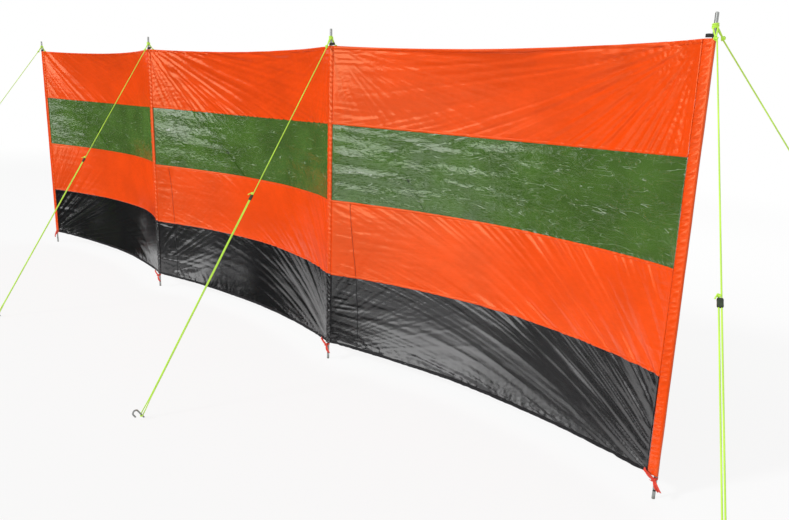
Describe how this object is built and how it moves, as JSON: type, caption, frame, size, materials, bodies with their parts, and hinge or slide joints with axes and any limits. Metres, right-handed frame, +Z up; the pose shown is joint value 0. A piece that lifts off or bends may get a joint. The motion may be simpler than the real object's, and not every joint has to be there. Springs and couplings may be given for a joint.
{
  "type": "beach windbreak",
  "caption": "Bellied cloth windbreak in bays with a clear window strip and a dark skirt, carried on upright steel poles in sewn sleeves and stayed by guy lines on pegs.",
  "frame": {"origin": "centre of the left end pole's foot, at ground level", "axes": "+X along the row from the left end pole to the right end pole, +Y to the rear, +Z up; the front faces -Y"},
  "size_m": [5.8372, 1.9974, 1.39],
  "materials": {
    "steel": "satin",
    "orange_cloth": "coated, slight sheen",
    "black_cloth": "coated, glossy",
    "clear_film": "clear film, glossy",
    "black_webbing": "woven",
    "orange_tape": "woven",
    "guy_cord": "braided, fluorescent",
    "black_plastic": "matte",
    "peg_steel": "galvanised"
  },
  "bodies": {
    "root": {"pole_1": "steel", "pole_2": "steel", "pole_3": "steel", "pole_4": "steel", "pole_sleeve_1": "orange_cloth", "pole_sleeve_2": "orange_cloth", "pole_sleeve_3": "orange_cloth", "pole_sleeve_4": "orange_cloth", "lower_sleeve_2": "black_cloth", "lower_sleeve_3": "black_cloth", "bay_1_top_band": "orange_cloth", "bay_1_window": "clear_film", "bay_1_middle_band": "orange_cloth", "bay_1_skirt": "black_cloth", "bay_2_top_band": "orange_cloth", "bay_2_window": "clear_film", "bay_2_middle_band": "orange_cloth", "bay_2_skirt": "black_cloth", "bay_3_top_band": "orange_cloth", "bay_3_window": "clear_film", "bay_3_middle_band": "orange_cloth", "bay_3_skirt": "black_cloth", "webbing_loop_1": "black_webbing", "tape_tie_1": "orange_tape", "guy_line_1": "guy_cord", "webbing_loop_2": "black_webbing", "tape_tie_2": "orange_tape", "guy_line_2": "guy_cord", "webbing_loop_3": "black_webbing", "tape_tie_3": "orange_tape", "guy_line_3": "guy_cord", "webbing_loop_4": "black_webbing", "tape_tie_4": "orange_tape", "guy_line_4": "guy_cord", "front_guy_sliders": "black_plastic", "front_pegs": "peg_steel", "rear_guy_sliders": "black_plastic", "rear_pegs": "peg_steel"}
  },
  "joints": []
}
